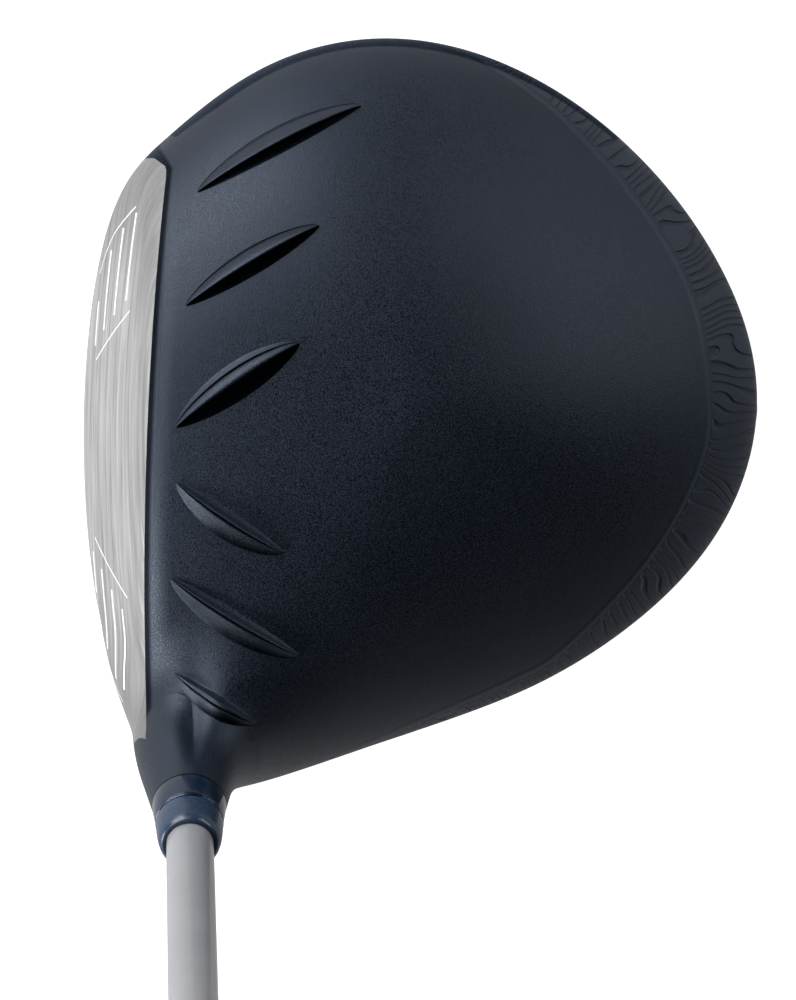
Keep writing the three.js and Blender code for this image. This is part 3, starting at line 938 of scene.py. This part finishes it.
holes = (
    rodMesh(hosel["bore"], hosel["seatTop"], 100, lineFrame(), 96),
    rodMesh(hosel["port"], -20, hosel["seatBottom"], lineFrame(), 96),
    rodMesh(hosel["screwHole"], 0, 40, lineFrame(), 64),
    rodMesh(pocket["radius"], -pocket["depth"], 20, weightFrame(), 96),
    rodMesh(pocket["thread"], -20, 0, weightFrame(), 64),
)
for hole in holes:
    bodyMesh = combined(bodyMesh, hole, "DIFFERENCE", "bodyWork")
badgeRoom = combined(badgeBlock(badge["gap"]), raisedBy(outer, badge["thickness"] + badge["gap"]),
                     "DIFFERENCE", "badgeRoom")
bodyMesh = combined(bodyMesh, badgeRoom, "DIFFERENCE", "body")
rimAttributes(bodyMesh)
placePiece(bodyMesh, "body", "head", "bodyPaint", ("body_shell",))

badgeMesh = combined(outer.copy(), badgeBlock(0.0), "INTERSECT", "badgeWork")
badgeMesh = combined(badgeMesh, raisedBy(outer, badge["thickness"]), "DIFFERENCE", "soleBadge")
placePiece(badgeMesh, "soleBadge", "head", "badgeMetal", ("sole_badge",))
for mesh in (crownMesh, bodyMesh, insertMesh, badgeMesh):
    mesh.set_sharp_from_angle(angle=math.radians(35))
say("crown %d, body %d, insert %d faces" % tuple(len(m.polygons) for m in (crownMesh, bodyMesh, insertMesh)))

# crescent ridges on the crown: front tip, back tip, how far the outer edge and the crest are on the bulging
# side of the line between them and the foot on the other, and where the crease is from edge to crest
ridges = {
    "crescents": (
        ((-45.5, -17), (-61.2, 12.5), 3.9, 1.3, 0.9, 0.12),
        ((-25.1, -19), (-39.5, 5), 3.3, 0.9, 1.7, 0.14),
        ((-3.4, -20.7), (-18.4, 1.4), 4, 0.9, 2.6, 0.42),
        ((6.3, -20.7), (19, -1.4), 4, 0.5, 1.2, 0.86),
        ((23.5, -21.8), (37.5, 1.4), 4, 0.5, 1.2, 0.86),
        ((40.6, -21), (49.6, -6.4), 3.2, 0.2, 0.9, 0.7),
    ),
    "height": 2.0,
    "creaseDepth": 0.5,
    "creaseWidth": 0.06,  # as a part of the rising side
    "crestShare": 0.62,  # part of the grid's width that the rising side takes
    "widestLean": 1.05,  # above 1 the widest place moves to the back
    "endRoundness": 0.6,  # lower is rounder
    "edgeRise": 0.1,  # part of the height that starts at the outer edge
    "skirt": 1.1,  # how far each ridge goes on below the crown
    "steps": (72, 30),
}


def crownHeights(points):
    # height of the head's top above each plan point
    low = np.full(len(points), float(head["ringHeight"]))
    return surfaceBetween(low, low + 60, 26, lambda z: headField(np.column_stack((points, z))) > 0)


def ridgeMesh(name, front, back, edge, crest, foot, creaseAt):
    # a grid over the crescent's plan, raised from the crown, with a skirt that goes down into it
    front, back = np.array(front, float), np.array(back, float)
    forward = (back - front) / np.linalg.norm(back - front)
    onToeSide = back[0] < front[0]
    side = np.array((-forward[1], forward[0])) * (1 if onToeSide else -1)
    bm = bmesh.new()
    bmesh.ops.create_grid(bm, x_segments=ridges["steps"][0], y_segments=ridges["steps"][1], size=1)
    grid = np.array([v.co[:2] for v in bm.verts])
    u = np.clip((grid[:, 0] + 1) / 2, 0.004, 0.996)
    v = (grid[:, 1] + 1) / 2
    spread = np.sin(np.pi * u ** ridges["widestLean"]) ** ridges["endRoundness"]
    # the rising side runs from the outer edge to the crest, and the steep side from there to the foot
    share = ridges["crestShare"]
    rising = np.clip(v / share, 0, 1)
    falling = np.clip((v - share) / (1 - share), 0, 1)
    across = edge + rising * (crest - edge) - falling * (crest + foot)
    crease = np.exp(-((rising - creaseAt) / ridges["creaseWidth"]) ** 2) * (v < share - 0.02)
    rise = ridges["edgeRise"] + (1 - ridges["edgeRise"]) * np.sin(rising * np.pi / 2) ** 1.4
    height = ridges["height"] * rise * (1 - falling) ** 1.7 - ridges["creaseDepth"] * crease
    height = height * spread ** 0.8
    plan = front + np.outer(u, back - front) + np.outer(across * spread, side)
    tops = crownHeights(plan)
    for vert, (x, y), top, extra in zip(bm.verts, plan, tops, height):
        vert.co = Vector((x, y, top + extra)) * mm
    extrudeFaces(bm, list(bm.faces), (0, 0, -ridges["skirt"]))
    bmesh.ops.recalc_face_normals(bm, faces=bm.faces)
    mesh = meshFrom(bm, name)
    # painted shade: on the steep side of the toe ridges, on the middle of the rising side of the heel ones,
    # and in the crease
    if onToeSide:
        flank = np.clip(falling / 0.12, 0, 1)
    else:
        flank = 0.8 * np.clip(1.15 - rising / 0.8, 0, 1) * np.clip(u * 3 - 0.5, 0, 1)
    dark = np.maximum(crease, flank)
    shade = np.concatenate((dark, np.zeros(len(mesh.vertices) - len(dark))))
    addAttribute(mesh, "creaseShade", shade)
    return mesh


for number, crescent in enumerate(ridges["crescents"], 1):
    mesh = ridgeMesh("crownRidge%d" % number, *crescent)
    placePiece(mesh, mesh.name, "head", "ridgePaint")
    mesh.set_sharp_from_angle(angle=math.radians(50))
say("ridges ready")

# painted lines on the face: heel-toe and height of each point
scores = {
    "wide": (((-42.1, 40.5), (-26.3, 40.5)), ((-39.5, 32.8), (-23.7, 32.8)), ((-35.6, 25.2), (-21.1, 25.2)),
             ((-26.4, 18.4), (-18.4, 18.4)), ((18.9, 16.2), (26.4, 16.2)), ((22.1, 23), (36.5, 23)),
             ((25.8, 30), (41.9, 30)), ((29.2, 36.6), (43.8, 36.6))),
    "fine": (((-43.2, 39.5), (-38.9, 26.9), (-35.2, 20.9), (-31.5, 17.1)), ((-24.4, 43.5), (-15.8, 20)),
             ((16.4, 18.6), (27.2, 40.9)), ((30.65, 12.8), (38.95, 20.6), (46.1, 34))),
    "wideLine": 1.0,
    "fineLine": 0.32,
    "proud": 0.03,
    "depth": 0.3,
    "steps": 23,
}


def faceDepths(places):
    # how far forward the head's surface is at each heel-toe place and height
    x, z = places.T
    inside, outside = np.full(len(places), -15.0), np.full(len(places), -60.0)
    return surfaceBetween(inside, outside, 26, lambda y: headField(np.column_stack((x, y, z))) > 0)


def scoreStrip(bm, route, width):
    # a thin strip that lies on the face along its route
    path = smoothLoop(route, scores["steps"] + 1, closed=False)
    tangent = np.gradient(path, axis=0)
    tangent /= np.linalg.norm(tangent, axis=1, keepdims=True)
    normal = np.column_stack((-tangent[:, 1], tangent[:, 0]))
    grid = bmesh.ops.create_grid(bm, x_segments=scores["steps"], y_segments=2, size=1)
    coordinates = np.array([v.co[:2] for v in grid["verts"]])
    step = np.rint((coordinates[:, 0] + 1) / 2 * scores["steps"]).astype(int)
    places = path[step] + normal[step] * coordinates[:, 1:] * width / 2
    for vert, (x, z), y in zip(grid["verts"], places, faceDepths(places)):
        vert.co = Vector((x, y - scores["proud"], z)) * mm
    faces = dict.fromkeys(face for vert in grid["verts"] for face in vert.link_faces)
    extrudeFaces(bm, list(faces), (0, scores["depth"], 0))


scoreBmesh = bmesh.new()
for route in scores["wide"]:
    scoreStrip(scoreBmesh, route, scores["wideLine"])
for route in scores["fine"]:
    scoreStrip(scoreBmesh, route, scores["fineLine"])
bmesh.ops.recalc_face_normals(scoreBmesh, faces=scoreBmesh.faces)
scoreMesh = meshFrom(scoreBmesh, "scoreLines")
placePiece(scoreMesh, "scoreLines", "head", "scorePaint", smooth=False)

# adapter, trim ring and ferrule on the shaft
adapter = {"bottom": 36, "sleeve": 5.05, "collarBottom": 72.05, "collarTop": 77.4, "topRadius": 6.07,
           "floor": 45, "thread": 2.6, "bore": 4.4}
trimRing = {"bottom": 77.5, "top": 78.1, "radius": 6.12}
ferrule = {"bottom": 78.2, "shoulder": 84.4, "top": 85.1, "base": 6.05, "shoulderRadius": 5.45, "lip": 4.95,
           "swell": ((5.95, 80.4), (5.75, 82.8))}


def turnedPiece(profile, name, body, finish, nodes, frameOfPiece=None, soften=0.15):
    bm = turnedBmesh(profile, 96, frameOfPiece or lineFrame())
    softenRims(bm, soften)
    placePiece(meshFrom(bm, name), name, body, finish, nodes)


def grooveProfile(radii, top, depth):
    # a ring groove in a flat end, from its outer edge inwards
    return [(radius, top - drop) for radius, drop in zip(radii, (0, depth, depth, 0))]


adapterProfile = (
    (adapter["sleeve"], adapter["bottom"]), (adapter["sleeve"], adapter["collarBottom"]),
    (line["hoselRadius"], adapter["collarBottom"]), (adapter["topRadius"], adapter["collarTop"]),
    (adapter["bore"], adapter["collarTop"]), (adapter["bore"], adapter["floor"]),
    (adapter["thread"], adapter["floor"]), (adapter["thread"], adapter["bottom"]),
)
turnedPiece(adapterProfile, "adapterSleeve", "shaft", "glossNavy", ("hosel_adapter",))
ringProfile = (
    (trimRing["radius"], trimRing["bottom"]), (trimRing["radius"], trimRing["top"]),
    (adapter["bore"], trimRing["top"]), (adapter["bore"], trimRing["bottom"]),
)
turnedPiece(ringProfile, "trimRing", "shaft", "trimMetal", ("ferrule_ring",))
ferruleProfile = (
    (ferrule["base"], ferrule["bottom"]), *ferrule["swell"],
    (ferrule["shoulderRadius"], ferrule["shoulder"]), (ferrule["lip"], ferrule["top"]),
    (adapter["bore"], ferrule["top"]), (adapter["bore"], ferrule["bottom"]),
)
turnedPiece(ferruleProfile, "ferruleSleeve", "shaft", "ferrulePlastic",
            ("ferrule",), soften=0.25)

shaft = {"tip": 45.3, "taperStart": 85, "butt": 1149.5, "tipRadius": 4.25, "buttRadius": 7.62, "wall": 1.1}
grip = {"mouth": 885, "mouthRadius": 8.7, "shoulder": 1140, "top": 1150.2, "topRadius": 13.1,
        "inner": 0.4, "bands": (905, 1020, 1122), "bandDepth": 0.25, "bandWidth": 1.2, "steps": 176}
cap = {"bottom": 1150.5, "rim": 1153.2, "top": 1155, "radius": 13.1, "faceRadius": 11.6, "vent": 1.4,
       "groove": (8.2, 7.8, 6.4, 6), "grooveDepth": 0.5}


def shaftRadius(height):
    t = max(height - shaft["taperStart"], 0) / (shaft["butt"] - shaft["taperStart"])
    return shaft["tipRadius"] + (shaft["buttRadius"] - shaft["tipRadius"]) * t


shaftHeights = (shaft["tip"], shaft["taperStart"], 300, 500, 700, 900, shaft["butt"])
shaftOutside = [(shaftRadius(h), h) for h in shaftHeights]
shaftInside = [(radius - shaft["wall"], h) for radius, h in reversed(shaftOutside)]
turnedPiece(shaftOutside + shaftInside, "shaftTube", "shaft", "shaftCoat", ("shaft",))


def gripRadius(height):
    t = min(max((height - grip["mouth"] - 2) / (grip["shoulder"] - grip["mouth"] - 2), 0), 1)
    dip = sum(math.exp(-((height - band) / grip["bandWidth"]) ** 2) for band in grip["bands"])
    swell = (grip["topRadius"] - grip["mouthRadius"]) * t ** 1.5
    return grip["mouthRadius"] + swell - grip["bandDepth"] * dip


gripHeights = np.linspace(grip["mouth"] + 1.5, grip["top"], grip["steps"] + 1).tolist()
gripOutside = [(grip["mouthRadius"] - 0.6, grip["mouth"])] + [(gripRadius(h), h) for h in gripHeights]
gripInside = [(shaftRadius(h) + grip["inner"], h) for h in (grip["top"], grip["mouth"])]
gripMesh = meshFrom(turnedBmesh(gripOutside + gripInside, 72, Matrix()), "gripSleeve")
gripPoints = pointsOf(gripMesh)
addAttribute(gripMesh, "gripAlong", gripPoints[:, 2] - grip["mouth"])
addAttribute(gripMesh, "gripX", gripPoints[:, 0])
addAttribute(gripMesh, "gripY", gripPoints[:, 1])
gripMesh.transform(lineFrame())
placePiece(gripMesh, "gripSleeve", "shaft", "gripRubber", ("grip",))
gripMesh.set_sharp_from_angle(angle=math.radians(50))
capProfile = (
    (cap["radius"], cap["bottom"]), (cap["radius"], cap["rim"]), (cap["radius"] - 0.5, cap["rim"] + 1.1),
    (cap["faceRadius"], cap["top"]), *grooveProfile(cap["groove"], cap["top"], cap["grooveDepth"]),
    (cap["vent"], cap["top"]), (cap["vent"], cap["bottom"]),
)
turnedPiece(capProfile, "buttCap", "shaft", "softRubber", ("grip_cap",))
say("shaft parts ready")

# screws: heights along their own line
adapterScrew = {"bottom": 19, "headTop": 23.5, "head": 3.9, "shank": 2.4, "end": 43, "socket": 3}
washer = {"bottom": 23.65, "top": 24.45, "radius": 5, "hole": 2.75}
weight = {"radius": 8, "chamfer": 0.6, "inner": 3.8, "proud": 0.9, "recess": 2.1, "headHole": 4, "hole": 2.8,
          "groove": (7.0, 6.8, 6.4, 6.2), "grooveDepth": 0.25}
weightScrew = {"head": 3.6, "under": 1.8, "top": 0.9, "shank": 2.4, "end": 9.5, "socket": 2}
drive = {"radius": 2.1, "lobe": 0.35}
thread = {"pitch": 0.8, "depth": 0.3}


def driveSocket(depth):
    # six-lobed cutter from 1 above height 0 down to the socket's depth
    bm = bmesh.new()
    bmesh.ops.create_circle(bm, cap_ends=True, segments=72, radius=1)
    for vert in bm.verts:
        angle = math.atan2(vert.co.y, vert.co.x)
        radius = drive["radius"] + drive["lobe"] * math.cos(6 * angle)
        vert.co = Vector((radius * math.cos(angle), radius * math.sin(angle), 1)) * mm
    extrudeFaces(bm, list(bm.faces), (0, 0, -(depth + 1)))
    bmesh.ops.recalc_face_normals(bm, faces=bm.faces)
    return meshFrom(bm)


def threadSteps(radius, bottom, top):
    # the profile of a thread, from its bottom to its top
    steps = []
    for i in range(int((top - bottom) / thread["pitch"])):
        steps.append((radius - thread["depth"], bottom + i * thread["pitch"]))
        steps.append((radius, bottom + (i + 0.5) * thread["pitch"]))
    return steps


def screwPiece(profile, socketMatrix, depth, name, body, nodes, frameOfPiece):
    # a turned screw with the drive socket cut out of its head
    bm = turnedBmesh(profile, 96, Matrix())
    softenRims(bm, 0.2)
    socket = driveSocket(depth)
    socket.transform(socketMatrix)
    mesh = combined(meshFrom(bm), socket, "DIFFERENCE", name)
    mesh.transform(frameOfPiece)
    placePiece(mesh, name, body, "screwSteel", nodes)
    mesh.set_sharp_from_angle(angle=math.radians(35))


screw = adapterScrew
screwProfile = [(0, screw["bottom"]), (screw["head"], screw["bottom"]), (screw["head"], screw["headTop"]),
                (screw["shank"] - 0.3, screw["headTop"])]
screwProfile += threadSteps(screw["shank"], screw["headTop"] + 2, screw["end"] - 1)
screwProfile += [(screw["shank"] - 0.7, screw["end"]), (0, screw["end"])]
turnOver = Matrix.Translation((0, 0, screw["bottom"] * mm)) @ Matrix.Rotation(math.pi, 4, "X")
screwPiece(screwProfile, turnOver, screw["socket"], "adapterScrew", "adapter_screw", ("adapter_screw",),
           lineFrame())

screw = weightScrew
screwProfile = [(0, -screw["end"]), (screw["shank"] - 0.6, -screw["end"])]
screwProfile += threadSteps(screw["shank"], -screw["end"] + 0.6, -screw["under"] - 1)
screwProfile += [(screw["shank"] - 0.3, -screw["under"]), (screw["head"], -screw["under"]),
                 (screw["head"], screw["top"] - 0.3), (screw["head"] - 0.3, screw["top"]), (0, screw["top"])]
screwPiece(screwProfile, Matrix.Translation((0, 0, screw["top"] * mm)), screw["socket"], "weightScrew",
           "weight_screw", ("weight_screw",), weightFrame())

washerProfile = (
    (washer["radius"], washer["bottom"]), (washer["radius"], washer["top"]),
    (washer["hole"], washer["top"]), (washer["hole"], washer["bottom"]),
)
turnedPiece(washerProfile, "screwWasher", "screw_washer", "screwSteel",
            ("screw_washer",), soften=0.12)
weightProfile = (
    (weight["radius"], -weight["inner"]), (weight["radius"], weight["proud"] - weight["chamfer"]),
    (weight["radius"] - weight["chamfer"], weight["proud"]),
    *grooveProfile(weight["groove"], weight["proud"], weight["grooveDepth"]),
    (weight["headHole"], weight["proud"]), (weight["headHole"], -weight["recess"]),
    (weight["hole"], -weight["recess"]), (weight["hole"], -weight["inner"]),
)
turnedPiece(weightProfile, "rearWeight", "rear_weight", "weightMetal",
            ("rear_weight",), weightFrame(), soften=0.1)

# hidden parts keep their shape from the frame
keptFinish = {"hot_melt_pad": "warmGlue", "weight_gasket": "softRubber", "tip_plug": "softRubber",
              "grip_tape": "clothTape", "screw_retainer": "softRubber"}
for node, finish in keptFinish.items():
    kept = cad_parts[node]
    for slot in kept.material_slots:
        slot.material = materials[finish]
say("all pieces ready")
